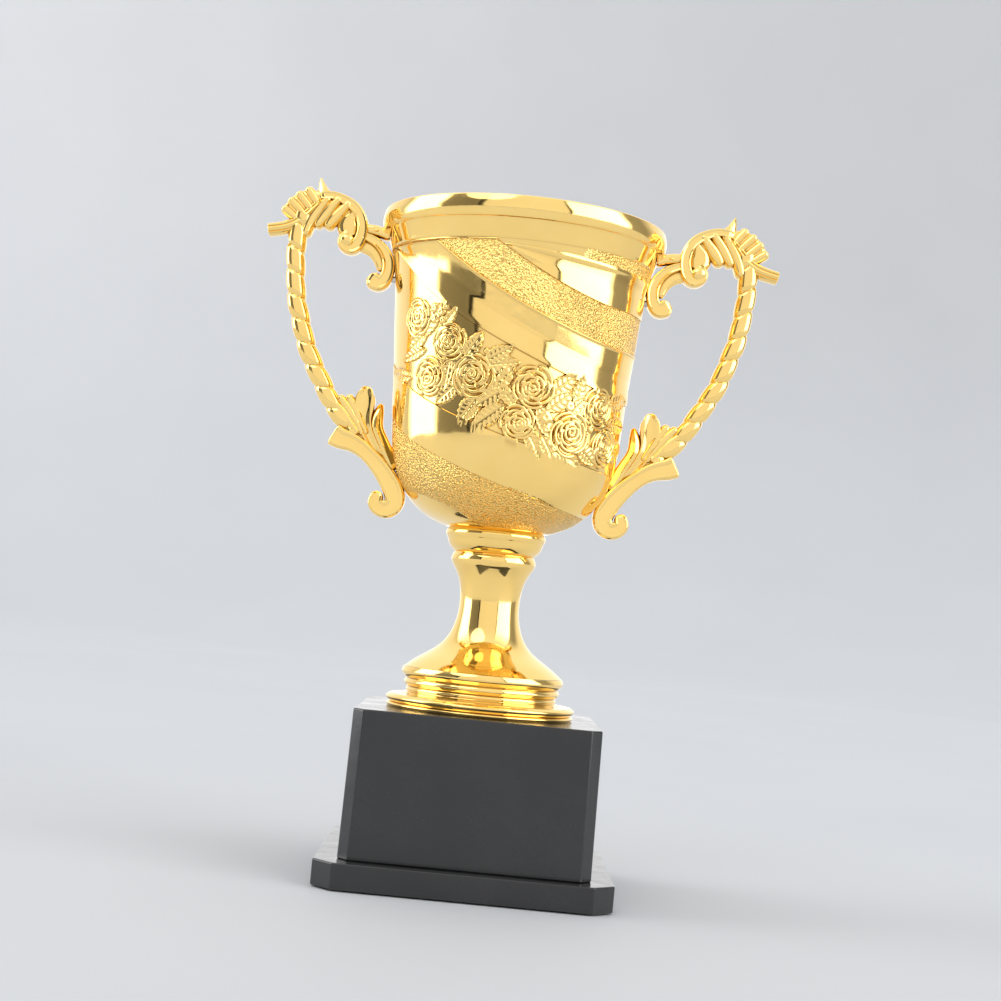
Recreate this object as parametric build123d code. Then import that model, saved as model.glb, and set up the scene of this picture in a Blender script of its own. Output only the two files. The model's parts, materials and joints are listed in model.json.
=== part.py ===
from build123d import *

import os
from math import hypot

# Two-handled cup trophy: a turned cup on a stem and a stepped foot, clamped by one tie rod to a square,
# weighted base.
#
# Frame: +Z up, origin on the resting plane under the middle of the base. The handles lie in the XZ plane,
# one on each side, and the front of the cup faces -Y. All lengths are millimetres.
#
# The plated cup parts are thin hollow mouldings stacked on the tie rod. A nut inside the bowl and a nut
# under the ballast block pull them together. Each handle is held by two screws put in from inside the bowl.

# Heights of the joints between the stacked pieces.
COVER_Z = 1.5
PLINTH_Z = 0.8
PLINTH_TOP = 13.8
PEDESTAL_TOP = 87.4
FOOT_Z = 90.0
STEM_Z = 108.4
COLLAR_Z = 169.3
BOWL_Z = 182.0
RIM_Z = 340.0

# Base.
PLINTH_WIDTH = 147.0
PLINTH_CORNER = 10.5
PEDESTAL_WIDTH = 124.2
PEDESTAL_CORNER = 5.4
PEDESTAL_DRAFT = 0.86
BASE_WALL = 2.5
PEDESTAL_ROOF = 3.0
PLINTH_ROOF = 2.8
COVER_THICKNESS = 2.0
COVER_LEDGE = 1.2
PAD_RADIUS = 7.0
PAD_SPACING = 116.0
SCREW_SPACING = 100.0
BALLAST_WIDTH = 88.0
BALLAST_HEIGHT = 38.0

# Plated mouldings.
WALL = 2.2
BOWL_FLOOR = 3.0
BOWL_SPIGOT_RADIUS = 12.0
BOWL_SPIGOT_HEIGHT = 3.5
STEM_SPIGOT_RADIUS = 15.0
STEM_SPIGOT_HEIGHT = 6.4
STEM_SOCKET_DEPTH = 6.7
FIT = 0.1

# Tie rod, an M6 thread drawn plain at its outer diameter.
ROD_RADIUS = 3.0
ROD_HOLE = 3.3
NUT_ACROSS_FLATS = 10.0
NUT_HEIGHT = 5.0
WASHER_RADIUS = 9.0
WASHER_THICKNESS = 1.6

# Screws that hold the handles and the plinth.
SCREW_RADIUS = 1.6
SCREW_HOLE = 2.0
SCREW_HEAD_RADIUS = 3.2
SCREW_HEAD = 2.2
SCREW_POST_RADIUS = 4.5
SCREW_WASHER = 1.0
PILOT_FIT = 0.03
UPPER_SCREW_Z = 306.0
LOWER_SCREW_Z = 206.0
UPPER_SEAT_X = 60.4
LOWER_SEAT_X = 48.6
UPPER_SCREW_TIP_X = 70.5
LOWER_SCREW_TIP_X = 60.0

# Outer shape of the bowl as (radius, height), from its seat on the collar up to the line under the neck.
BOWL_SIDE = [
    (26.5, BOWL_Z),
    (38.0, 187.0),
    (49.0, 197.4),
    (55.2, 209.0),
    (58.8, 228.0),
    (60.0, 249.5),
    (62.1, 275.3),
    (64.1, 301.2),
    (66.3, 316.2),
]
BOWL_NECK = [(66.3, 316.2), (68.0, 322.0), (71.0, 329.4)]
BOWL_RIM = [(72.1, 329.6), (73.4, 334.6), (72.6, 339.2)]

# The grip of a handle, as (x, z) along its middle.
GRIP_PATH = [
    (117.0, 326.0),
    (116.8, 310.0),
    (114.2, 290.0),
    (108.0, 270.0),
    (97.6, 250.0),
    (85.0, 232.4),
    (76.0, 224.6),
]
GRIP_RADIUS = 5.0
HANDLE_HALF_DEPTH = 5.2
LEAF_HALF_DEPTH = 4.4
WEB_HALF_DEPTH = 2.2


def at(r, z):
    """A point of the r-z half plane that is turned about the Z axis."""
    return Vector(r, 0, z)


def line(*points):
    return Polyline([at(*p) for p in points])


def curve(*points):
    return Spline([at(*p) for p in points])


def turned(*edges):
    """The solid that a closed outline sweeps when it turns about the Z axis."""
    return revolve(make_face(edges), Axis.Z)


def disc(radius, z, height, x=0.0, y=0.0):
    """An upright cylinder standing on height z."""
    return Pos(x, y, z + height / 2) * Cylinder(radius, height)


def bar_x(radius, x0, x1, z):
    """A cylinder lying along X from x0 to x1."""
    return Pos((x0 + x1) / 2, 0, z) * Rot(0, 90, 0) * Cylinder(radius, x1 - x0)


def square_block(width, corner, z, height, taper=0.0):
    """A square block with clipped upright corners, standing on height z. It narrows upwards by the taper."""
    outline = Rectangle(width, width)
    outline = chamfer(outline.vertices(), corner)
    return extrude(Pos(0, 0, z) * outline, height, taper=taper)


def corners(spacing):
    """The four corner positions of a square pattern."""
    half = spacing / 2
    return [(x, y) for x in (-half, half) for y in (-half, half)]


# ------------------------------------------------------------ bowl and stem


def inset(points, wall):
    """The points of an open outline moved inwards by the wall thickness, square to the outline."""
    moved = []
    for i, (r, z) in enumerate(points):
        r0, z0 = points[max(i - 1, 0)]
        r1, z1 = points[min(i + 1, len(points) - 1)]
        length = hypot(r1 - r0, z1 - z0)
        moved.append((r - wall * (z1 - z0) / length, z + wall * (r1 - r0) / length))
    return moved


def bowl_envelope(grow=0.0):
    """The full outer form of the bowl's side, from the seat to the neck line, grown sideways."""
    side = [(r + grow, z) for r, z in BOWL_SIDE]
    neck = [(r + grow, z) for r, z in BOWL_NECK]
    rim_r = BOWL_RIM[1][0] + grow
    rim_z = BOWL_NECK[-1][1] - grow
    return turned(
        line((0, RIM_Z), (0, BOWL_Z), side[0]),
        curve(*side),
        curve(*neck),
        line(neck[-1], (rim_r, rim_z), (rim_r, RIM_Z), (0, RIM_Z)),
    )


def make_bowl():
    side_in = inset(BOWL_SIDE[1:], WALL)
    floor_z = BOWL_Z + BOWL_FLOOR
    neck_in = inset(BOWL_NECK, WALL)
    lip_r = BOWL_RIM[2][0] - WALL
    lip_top = at(BOWL_RIM[2][0] - WALL / 2, RIM_Z)
    outside = [
        line((0, BOWL_Z), BOWL_SIDE[0]),
        curve(*BOWL_SIDE),
        curve(*BOWL_NECK),
        line(BOWL_NECK[-1], BOWL_RIM[0]),
        curve(*BOWL_RIM),
        ThreePointArc(at(*BOWL_RIM[2]), lip_top, at(lip_r, BOWL_RIM[2][1])),
    ]
    inside = [
        curve((lip_r, BOWL_RIM[2][1]), neck_in[-1], neck_in[1], side_in[-1]),
        curve(*reversed(side_in)),
        line(side_in[0], (side_in[0][0] - 4, floor_z), (0, floor_z), (0, BOWL_Z)),
    ]
    bowl = turned(*outside, *inside)
    bowl += disc(BOWL_SPIGOT_RADIUS, BOWL_Z - BOWL_SPIGOT_HEIGHT, BOWL_SPIGOT_HEIGHT + BOWL_FLOOR / 2)
    solid_form = bowl_envelope()
    for side in (-1, 1):
        upper = bar_x(5.0, UPPER_SEAT_X, UPPER_SEAT_X + 3, UPPER_SCREW_Z)
        lower = bar_x(4.6, LOWER_SEAT_X, LOWER_SEAT_X + 7, LOWER_SCREW_Z) & solid_form
        holes = bar_x(SCREW_HOLE, 40, 80, UPPER_SCREW_Z) + bar_x(SCREW_HOLE, 40, 80, LOWER_SCREW_Z)
        turn = Rot(0, 0, 0 if side > 0 else 180)
        bowl = bowl + turn * upper + turn * lower - turn * holes
    return bowl - disc(ROD_HOLE, BOWL_Z - 10, 20)


def make_collar():
    """The knob under the bowl: a broad bead over a cove, with sockets for the bowl and the stem."""
    body = turned(
        line((0, BOWL_Z), (24.2, BOWL_Z)),
        curve((24.2, BOWL_Z), (25.8, 179.4), (25.2, 176.9)),
        line((25.2, 176.9), (24.8, 176.5)),
        curve((24.8, 176.5), (23.4, 172.6), (20.2, COLLAR_Z)),
        line((20.2, COLLAR_Z), (0, COLLAR_Z), (0, BOWL_Z)),
    )
    body -= disc(BOWL_SPIGOT_RADIUS + FIT, BOWL_Z - BOWL_SPIGOT_HEIGHT - FIT, 10)
    body -= disc(STEM_SPIGOT_RADIUS + FIT, COLLAR_Z - 1, STEM_SOCKET_DEPTH + 1)
    return body - disc(ROD_HOLE, COLLAR_Z - 1, 20)


def make_stem():
    """The waisted stem, which flares out to the foot."""
    top = COLLAR_Z
    body = turned(
        line((0, top), (20.6, top)),
        curve((20.6, top), (21.8, 165.9), (20.9, 163.0)),
        curve(
            (20.9, 163.0),
            (17.6, 157.0),
            (15.5, 146.0),
            (16.8, 133.0),
            (22.6, 122.0),
            (34.5, 113.2),
            (40.6, STEM_Z),
        ),
        line((40.6, STEM_Z), (38.4, STEM_Z)),
        curve((38.4, STEM_Z), (33.0, 111.4), (21.0, 120.6), (14.6, 132.6), (13.2, 146.0), (13.6, 158.0)),
        line((13.6, 158.0), (0, 162.0), (0, top)),
    )
    body += disc(STEM_SPIGOT_RADIUS, top - 1, STEM_SPIGOT_HEIGHT + 1)
    body += disc(34.0, STEM_Z - 2.6, 6.2) - disc(31.8, STEM_Z - 3, 8)
    return body - disc(ROD_HOLE, 150, 30)


def make_foot():
    """The stepped foot: a bead, two fine rings and a cove that opens to a wide bead."""
    body = turned(
        line((34.0 + FIT, STEM_Z), (41.0, STEM_Z)),
        curve((41.0, STEM_Z), (41.8, 105.8), (40.0, 102.9)),
        line((40.0, 102.9), (39.2, 102.5)),
        curve((39.2, 102.5), (40.2, 100.5), (39.2, 98.6)),
        line((39.2, 98.6), (38.2, 98.2)),
        curve((38.2, 98.2), (38.9, 97.0), (38.6, 95.8)),
        curve((38.6, 95.8), (42.0, 94.6), (47.0, 94.0)),
        curve((47.0, 94.0), (48.8, 92.3), (47.2, FOOT_Z)),
        line(
            (47.2, FOOT_Z),
            (36.0, FOOT_Z),
            (36.0, STEM_Z - 3.0),
            (34.0 + FIT, STEM_Z - 3.0),
            (34.0 + FIT, STEM_Z),
        ),
    )
    return body


def make_foot_ring():
    """The flat ring between the foot and the pedestal, with an upstand that centres the foot."""
    ring = turned(
        line((30.0, PEDESTAL_TOP), (47.6, PEDESTAL_TOP)),
        curve((47.6, PEDESTAL_TOP), (48.4, 88.7), (46.6, FOOT_Z)),
        line((46.6, FOOT_Z), (30.0, FOOT_Z), (30.0, PEDESTAL_TOP)),
    )
    upstand = disc(36.0 - FIT, FOOT_Z - 1, 4) - disc(33.6, FOOT_Z - 2, 8)
    return ring + upstand


# ---------------------------------------------------------------- handles


def limb(*stations):
    """A tapering, flattened limb of a handle. A station is (x, z, half width in the handle's plane)."""
    path = Spline([at(x, z) for x, z, _ in stations])
    sections = []
    for x, z, half in stations:
        share = path.param_at_point(at(x, z))
        plane = Plane(origin=path @ share, x_dir=(0, 1, 0), z_dir=path % share)
        sections.append(plane * Ellipse(min(HANDLE_HALF_DEPTH, half + 1.5), half))
    return loft(sections)


def scroll_eye(x, z, radius, half_depth):
    """The button at the end of a scroll: a short round boss across the handle with softened edges."""
    eye = Rot(90, 0, 0) * Cylinder(radius, 2 * half_depth)
    return Pos(x, 0, z) * fillet(eye.edges().filter_by(GeomType.CIRCLE), radius * 0.35)


def leaf_plate(outline, half_depth):
    """A flat leaf of the handle, cut from plate with a smooth closed outline of (x, z) points."""
    edge = Spline([at(*p) for p in outline], periodic=True)
    return extrude(make_face(edge), half_depth, both=True)


def make_grip():
    path = Spline([at(*p) for p in GRIP_PATH])
    return sweep(Plane(origin=path @ 0, z_dir=path % 0) * Circle(GRIP_RADIUS), path)


def make_head():
    """The curled leaf that crowns the handle, with its cut stalk outside and the scroll that hangs inside."""
    stalk = limb(
        (132.8, 325.2, 3.6),
        (125.0, 326.8, 3.3),
        (117.0, 329.8, 3.2),
        (110.0, 336.2, 2.8),
        (104.5, 343.6, 2.2),
    )
    tip = limb((103.0, 344.4, 2.8), (106.2, 348.8, 2.3), (107.4, 355.0, 0.5))
    arch = limb(
        (106.0, 345.0, 2.0),
        (98.0, 345.4, 1.9),
        (90.4, 342.2, 2.2),
        (85.2, 336.4, 2.5),
        (83.6, 329.4, 2.5),
        (84.8, 323.0, 3.0),
    )
    outer_edge = [(125.6, 330.0), (125.6, 337.0), (121.8, 342.6), (116.0, 347.2)]
    outer_edge += [(111.0, 348.2), (106.5, 343.6), (113.0, 335.0)]
    inner_edge = [(112.8, 325.4), (106.6, 341.6), (97.0, 343.6), (89.0, 339.6)]
    inner_edge += [(87.0, 331.6), (95.6, 331.0), (102.0, 328.8)]
    outer_leaf = leaf_plate(outer_edge, LEAF_HALF_DEPTH)
    inner_leaf = leaf_plate(inner_edge, LEAF_HALF_DEPTH)
    return stalk + tip + arch + outer_leaf + inner_leaf + scroll_eye(89.4, 322.9, 6.3, 5.0)


def make_bracket():
    """The C-scroll that joins the head to the cup, the thin web inside it and the small tie above it."""
    scroll = limb(
        (82.0, 326.0, 2.4),
        (75.2, 324.0, 2.5),
        (70.6, 319.6, 2.6),
        (68.0, 313.6, 2.6),
        (68.0, 307.6, 2.7),
        (70.6, 303.2, 2.8),
        (74.4, 301.8, 2.4),
    )
    web_edge = [(81.6, 325.0), (83.4, 319.4), (77.6, 316.2), (73.4, 309.0), (70.6, 313.0), (73.6, 320.6)]
    web = leaf_plate(web_edge, WEB_HALF_DEPTH)
    tie = limb((84.0, 330.4, 2.2), (77.0, 330.0, 2.5), (68.0, 329.4, 2.4))
    boss = bar_x(4.2, 60.0, 70.8, UPPER_SCREW_Z)
    return scroll + web + tie + boss + scroll_eye(75.0, 304.0, 4.8, 4.4)


def make_fleur():
    """The leaves at the lower end, which close into one scroll against the bowl."""
    fin = limb(
        (92.2, 219.4, 1.4),
        (88.4, 222.4, 4.4),
        (82.0, 222.6, 5.0),
        (74.4, 219.4, 5.0),
        (66.4, 213.2, 4.9),
        (60.6, 206.4, 5.0),
        (56.2, 199.0, 5.2),
        (55.0, 192.0, 5.6),
    )
    petal = limb(
        (74.2, 248.6, 2.6),
        (74.4, 243.6, 4.5),
        (73.6, 237.0, 3.8),
        (71.2, 229.0, 3.2),
        (66.6, 219.4, 3.0),
    )
    horn = limb(
        (65.2, 240.8, 1.6),
        (67.0, 235.2, 2.6),
        (66.9, 228.6, 2.8),
        (64.2, 221.6, 2.9),
        (57.6, 210.4, 3.2),
    )
    small_leaf = limb((86.6, 245.2, 1.8), (81.6, 240.4, 3.5), (75.6, 232.4, 3.2), (69.6, 222.4, 2.8))
    boss = bar_x(4.6, 50.0, 61.0, LOWER_SCREW_Z)
    return fin + petal + horn + small_leaf + boss + scroll_eye(59.4, 190.3, 7.8, 5.0)


def make_handle():
    """The handle on the +X side, cut back to sit on the bowl, with a pilot hole for each screw."""
    handle = make_grip() + make_head() + make_bracket() + make_fleur()
    handle -= bowl_envelope(FIT)
    for z, tip in ((UPPER_SCREW_Z, UPPER_SCREW_TIP_X), (LOWER_SCREW_Z, LOWER_SCREW_TIP_X)):
        handle -= bar_x(SCREW_RADIUS + PILOT_FIT, 40, tip + 0.2, z)
    return max(handle.solids(), key=lambda solid: solid.volume)


# ---------------------------------------------------------------- base


def make_pedestal():
    height = PEDESTAL_TOP - PLINTH_TOP
    box = square_block(PEDESTAL_WIDTH, PEDESTAL_CORNER, PLINTH_TOP, height, PEDESTAL_DRAFT)
    box = fillet(box.faces().sort_by(Axis.Z)[-1].edges(), 0.8)
    room_width = PEDESTAL_WIDTH - 2 * BASE_WALL
    room_height = height - PEDESTAL_ROOF + 1
    box -= square_block(room_width, PEDESTAL_CORNER - 1, PLINTH_TOP - 1, room_height, PEDESTAL_DRAFT)
    for x, y in corners(SCREW_SPACING):
        pilot = disc(SCREW_RADIUS + PILOT_FIT, PLINTH_TOP - 1, 20, x, y)
        box += disc(SCREW_POST_RADIUS, PLINTH_TOP, height - 1, x, y) - pilot
    return box - disc(ROD_HOLE, PEDESTAL_TOP - 10, 20)


def make_plinth():
    plate = square_block(PLINTH_WIDTH, PLINTH_CORNER, PLINTH_Z, PLINTH_TOP - PLINTH_Z)
    plate = chamfer(plate.faces().sort_by(Axis.Z)[-1].edges(), 0.6)
    cover_top = COVER_Z + COVER_THICKNESS
    roof_z = PLINTH_TOP - PLINTH_ROOF
    inside = PLINTH_WIDTH - 2 * BASE_WALL
    plate -= square_block(inside, PLINTH_CORNER - 1, PLINTH_Z - 1, cover_top - PLINTH_Z + 1)
    plate -= square_block(inside - 2 * COVER_LEDGE, PLINTH_CORNER - 1, cover_top - 1, roof_z - cover_top + 1)
    rim_width = PEDESTAL_WIDTH - 2 * BASE_WALL - 1.2
    rim = square_block(rim_width, PEDESTAL_CORNER, PLINTH_TOP - 1, 4)
    rim -= square_block(rim_width - 3.2, PEDESTAL_CORNER, PLINTH_TOP - 2, 8)
    plate += rim
    for x, y in corners(SCREW_SPACING):
        plate -= disc(SCREW_HOLE, 0, PLINTH_TOP + 5, x, y)
    return plate


def make_base_cover():
    return square_block(PLINTH_WIDTH - 2 * BASE_WALL - 0.6, PLINTH_CORNER - 1, COVER_Z, COVER_THICKNESS)


def make_foot_pads():
    return [disc(PAD_RADIUS, 0, COVER_Z, x, y) for x, y in corners(PAD_SPACING)]


def make_ballast():
    z = PEDESTAL_TOP - PEDESTAL_ROOF - BALLAST_HEIGHT
    return square_block(BALLAST_WIDTH, 8.0, z, BALLAST_HEIGHT) - disc(ROD_HOLE, z - 1, BALLAST_HEIGHT + 2)


# ---------------------------------------------------------------- fasteners


def hexagon(z, height):
    return extrude(Pos(0, 0, z) * RegularPolygon(NUT_ACROSS_FLATS / 2, 6, major_radius=False), height)


def make_washer(z):
    return disc(WASHER_RADIUS, z, WASHER_THICKNESS) - disc(ROD_RADIUS + 0.2, z - 1, WASHER_THICKNESS + 2)


def make_rod(z0, z1):
    return chamfer(disc(ROD_RADIUS, z0, z1 - z0).edges().filter_by(GeomType.CIRCLE), 0.6)


def make_dome_nut(z):
    """The domed nut seen at the bottom of the bowl."""
    nut = hexagon(z, NUT_HEIGHT)
    dome_z = z + NUT_HEIGHT
    nut += Pos(0, 0, dome_z) * Sphere(NUT_ACROSS_FLATS / 2 - 0.3) & disc(NUT_ACROSS_FLATS, dome_z - 1, 20)
    return nut - disc(ROD_RADIUS + 0.05, z - 1, NUT_HEIGHT + 3)


def make_hex_nut(z):
    return hexagon(z, NUT_HEIGHT) - disc(ROD_RADIUS + 0.05, z - 1, NUT_HEIGHT + 2)


def handle_screw(seat_x, tip_x, z):
    """A pan-head screw along X, with its head inside the bowl."""
    under_head = seat_x - SCREW_WASHER
    head = bar_x(SCREW_HEAD_RADIUS, under_head - SCREW_HEAD, under_head, z)
    head = fillet(head.edges().sort_by(Axis.X)[0], 1.0)
    return head + bar_x(SCREW_RADIUS, under_head - 1, tip_x, z)


def handle_washer(seat_x, z):
    return bar_x(4.2, seat_x - SCREW_WASHER, seat_x, z) - bar_x(SCREW_RADIUS + 0.2, seat_x - 5, seat_x + 5, z)


def both_sides(solids):
    """The solids as given on the +X side, and again turned half way round for the -X side."""
    return solids + [Rot(0, 0, 180) * solid for solid in solids]


def make_plinth_screws():
    under_head = PLINTH_TOP - PLINTH_ROOF
    screws = []
    for x, y in corners(SCREW_SPACING):
        head = disc(SCREW_HEAD_RADIUS + 0.4, under_head - SCREW_HEAD, SCREW_HEAD, x, y)
        screws.append(head + disc(SCREW_RADIUS, under_head - 1, 19, x, y))
    return screws


def save(name, *solids):
    shape = solids[0] if len(solids) == 1 else Compound(children=[Part(solid.wrapped) for solid in solids])
    export_step(shape, f"parts/{name}.step")


def main():
    os.makedirs("parts", exist_ok=True)
    ballast_z = PEDESTAL_TOP - PEDESTAL_ROOF - BALLAST_HEIGHT
    floor_z = BOWL_Z + BOWL_FLOOR
    handle = make_handle()
    upper = (UPPER_SEAT_X, UPPER_SCREW_TIP_X, UPPER_SCREW_Z)
    lower = (LOWER_SEAT_X, LOWER_SCREW_TIP_X, LOWER_SCREW_Z)

    save("bowl", make_bowl())
    save("collar", make_collar())
    save("stem", make_stem())
    save("foot", make_foot())
    save("foot_ring", make_foot_ring())
    save("handle_right", handle)
    save("handle_left", Rot(0, 0, 180) * handle)
    save("handle_screws", *both_sides([handle_screw(*upper), handle_screw(*lower)]))
    save("handle_washers", *both_sides([handle_washer(s, z) for s, _, z in (upper, lower)]))
    save("pedestal", make_pedestal())
    save("plinth", make_plinth())
    save("plinth_screws", *make_plinth_screws())
    save("ballast_block", make_ballast())
    save("base_cover", make_base_cover())
    save("foot_pads", *make_foot_pads())
    save("tie_rod", make_rod(ballast_z - 9.0, floor_z + 7.6))
    save("rod_top_washer", make_washer(floor_z))
    save("rod_dome_nut", make_dome_nut(floor_z + WASHER_THICKNESS))
    save("rod_bottom_washer", make_washer(ballast_z - WASHER_THICKNESS))
    save("rod_bottom_nut", make_hex_nut(ballast_z - WASHER_THICKNESS - NUT_HEIGHT))


main()
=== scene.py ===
"""The looks of a gold-plated cup trophy on a black plastic base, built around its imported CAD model.

Sizes are in millimetres until a mesh is made. Heights are measured from the table the trophy stands on.
The cup's pattern covers half a turn, and is repeated on the back. Angles are degrees from the front, and
grow towards +X.
"""

import json
import math

import bmesh
import bpy
import numpy as np
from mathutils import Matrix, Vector

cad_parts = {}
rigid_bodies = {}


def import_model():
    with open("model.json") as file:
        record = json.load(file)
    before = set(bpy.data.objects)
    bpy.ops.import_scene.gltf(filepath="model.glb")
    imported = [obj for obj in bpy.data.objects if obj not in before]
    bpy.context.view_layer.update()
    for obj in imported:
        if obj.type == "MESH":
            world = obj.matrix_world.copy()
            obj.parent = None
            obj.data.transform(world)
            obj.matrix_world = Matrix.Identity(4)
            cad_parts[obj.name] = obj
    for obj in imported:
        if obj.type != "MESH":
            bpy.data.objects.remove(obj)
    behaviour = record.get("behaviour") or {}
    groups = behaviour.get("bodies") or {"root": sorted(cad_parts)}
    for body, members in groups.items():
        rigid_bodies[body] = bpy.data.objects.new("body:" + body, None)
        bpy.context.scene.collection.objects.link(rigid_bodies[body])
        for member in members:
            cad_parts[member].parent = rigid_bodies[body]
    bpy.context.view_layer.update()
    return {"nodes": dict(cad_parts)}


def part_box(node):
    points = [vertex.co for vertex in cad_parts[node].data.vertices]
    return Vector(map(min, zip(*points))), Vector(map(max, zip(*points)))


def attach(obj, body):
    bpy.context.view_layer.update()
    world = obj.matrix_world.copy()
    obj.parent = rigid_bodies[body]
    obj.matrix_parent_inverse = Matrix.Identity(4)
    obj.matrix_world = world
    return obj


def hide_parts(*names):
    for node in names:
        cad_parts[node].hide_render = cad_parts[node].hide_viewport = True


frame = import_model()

MM = 0.001
TAU = 2 * math.pi

# Heights where the pieces meet, read from the frame, and the radius of the rod's hole.
FOOT_RING_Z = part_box("pedestal")[1].z / MM
FOOT_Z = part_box("foot")[0].z / MM
STEM_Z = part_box("foot")[1].z / MM
COLLAR_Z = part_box("collar")[0].z / MM
BOWL_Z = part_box("collar")[1].z / MM
RIM_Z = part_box("bowl")[1].z / MM
HANDLE_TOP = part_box("handle_right")[1].z / MM
ROD_HOLE = 3.3

# The cup's outline as (radius, height above its seat), up to the crease under the rim.
BOWL_SIDE = [
    (26.5, 0.0), (38.0, 5.0), (49.0, 15.4), (55.2, 27.0), (58.8, 46.0), (60.0, 67.5),
    (62.1, 93.3), (64.1, 119.2), (66.3, 134.2), (68.0, 140.0), (71.0, 147.4),
]
BOWL_RIM = [(72.1, 147.7), (73.4, 152.6), (72.6, 157.2)]
LIP_RADIUS = 1.1
BOWL_WALL = 2.2
BOWL_FLOOR = 3.0
HALF_TURN_COLUMNS = 540


# ------------ curves and meshes


def spline(points, count):
    """Points along a natural cubic spline. Its parameter is the length along the first two coordinates."""
    points = np.array(points, float)
    span = np.linalg.norm(np.diff(points[:, :2], axis=0), axis=1)
    knots = np.concatenate([[0.0], np.cumsum(span)])
    last = len(points) - 1
    system = np.eye(last + 1)
    right = np.zeros_like(points)
    for i in range(1, last):
        system[i, i - 1] = span[i - 1]
        system[i, i] = 2 * (span[i - 1] + span[i])
        system[i, i + 1] = span[i]
        slope_before = (points[i] - points[i - 1]) / span[i - 1]
        slope_after = (points[i + 1] - points[i]) / span[i]
        right[i] = 6 * (slope_after - slope_before)
    bend = np.linalg.solve(system, right)
    reached = np.linspace(0, knots[-1], count)
    k = np.clip(np.searchsorted(knots, reached, side="right") - 1, 0, last - 1)
    width = span[k][:, None]
    a = (knots[k + 1] - reached)[:, None] / width
    b = 1 - a
    curve = ((a**3 - a) * bend[k] + (b**3 - b) * bend[k + 1]) * width**2 / 6
    return a * points[k] + b * points[k + 1] + curve


def smoothstep(x):
    """A soft step that rises from 0 to 1 while x goes from 0 to 1."""
    x = np.clip(x, 0, 1)
    return x * x * (3 - 2 * x)


def ring_faces(rings, around, closed=False):
    """Quads between rings of points. The last ring joins the first when closed."""
    i = np.arange(rings if closed else rings - 1)[:, None]
    j = np.arange(around)[None, :]
    i2 = (i + 1) % rings
    j2 = (j + 1) % around
    quads = np.stack([i * around + j, i * around + j2, i2 * around + j2, i2 * around + j], axis=-1)
    return quads.reshape(-1, 4)


def new_mesh(name, points, faces, sharp_angle=None):
    """A mesh from points in mm. Its faces are smooth, but for edges sharper than the given angle."""
    mesh = bpy.data.meshes.new(name)
    mesh.from_pydata((np.asarray(points) * MM).tolist(), [], [list(map(int, f)) for f in faces])
    mesh.validate()
    mesh.shade_smooth()
    if sharp_angle:
        mesh.set_sharp_from_angle(angle=math.radians(sharp_angle))
    return mesh


def new_object(name, mesh):
    piece = bpy.data.objects.new(name, mesh)
    bpy.context.scene.collection.objects.link(piece)
    return piece


def face_outwards(mesh):
    bm = bmesh.new()
    bm.from_mesh(mesh)
    bmesh.ops.recalc_face_normals(bm, faces=bm.faces)
    bm.to_mesh(mesh)
    bm.free()


def add_piece(name, mesh, material, slot, *nodes):
    """A finished piece that stands for the named CAD nodes."""
    face_outwards(mesh)
    piece = new_object(name, mesh)
    mesh.materials.clear()
    mesh.materials.append(material)
    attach(piece, "root")
    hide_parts(*nodes)
    return piece


def turned(name, outline, seat, segments=288, sharp_angle=32):
    """The mesh that a closed outline of (radius, height above its seat) sweeps about the Z axis."""
    outline = np.array(outline, float) + (0, seat)
    angle = np.linspace(0, TAU, segments, endpoint=False)
    r = outline[:, 0][:, None]
    z = np.repeat(outline[:, 1][:, None], segments, axis=1)
    points = np.stack([r * np.cos(angle), r * np.sin(angle), z], axis=-1).reshape(-1, 3)
    return new_mesh(name, points, ring_faces(len(outline), segments, closed=True), sharp_angle)


def union(name, parts):
    """One closed mesh from several closed meshes."""
    hold = bpy.data.collections.new(name + "_parts")
    body = new_object(name + "_body", parts[0])
    for part in parts[1:]:
        face_outwards(part)
        hold.objects.link(bpy.data.objects.new(part.name, part))
    face_outwards(parts[0])
    bpy.context.scene.collection.children.link(hold)
    join = body.modifiers.new("join", "BOOLEAN")
    join.operation = "UNION"
    join.solver = "MANIFOLD"
    join.operand_type = "COLLECTION"
    join.collection = hold
    evaluated = body.evaluated_get(bpy.context.evaluated_depsgraph_get())
    mesh = bpy.data.meshes.new_from_object(evaluated)
    for o in list(hold.objects) + [body]:
        bpy.data.objects.remove(o)
    bpy.data.collections.remove(hold)
    return mesh


# ------------ bands of the cup


def sweep(theta, lowest, turn, bend):
    """The height of a band's edge. It falls in a parabola to its lowest height at the angle called turn."""
    return lowest + bend * np.maximum(turn - theta, 0) ** 2


# The bands from the bottom up, with the rows of points over each.
BAND_ROWS = {
    "crescent": 16,
    "lower_sand": 50,
    "lower_ribbon": 16,
    "roses": 150,
    "upper_ribbon": 32,
    "bead": 6,
    "upper_sand": 54,
    "shoulder": 14,
    "neck_sand": 14,
    "neck": 12,
}

# Heights above the seat, and sizes. A step between two bands is twice STEP high.
COVE = 138.0
CREASE = BOWL_SIDE[-1][1]
STEP = 0.16
BEAD_WIDTH = 1.3
THINNEST_BAND = 0.45
NECK_SAND_START = 25.0
NECK_SAND_FADE = 6.0
# GROOVE_DEPTH is how deep a hollow must be for the full painted shade in it.
GROOVE_DEPTH = 0.3
PEBBLE_HEIGHT = 0.14
PEBBLE_SPACING = 1.1
PEBBLE_SEED = 3

# Under each handle the front's bands meet the back's. From SEAM_START on, over SEAM_FADE degrees, their edges
# shift to the heights halfway between the two. The last PLAIN_STRIP degrees have no relief, and it fades out
# over the PLAIN_FADE degrees before them.
SEAM_START = 82
SEAM_FADE = 7
PLAIN_STRIP = 6
PLAIN_FADE = 4

# How far from its stalk a leaf can reach (across, up), and a rose from its middle as a share of its radius.
LEAF_WINDOW = (26, 16)
ROSE_WINDOW = 1.15


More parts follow.
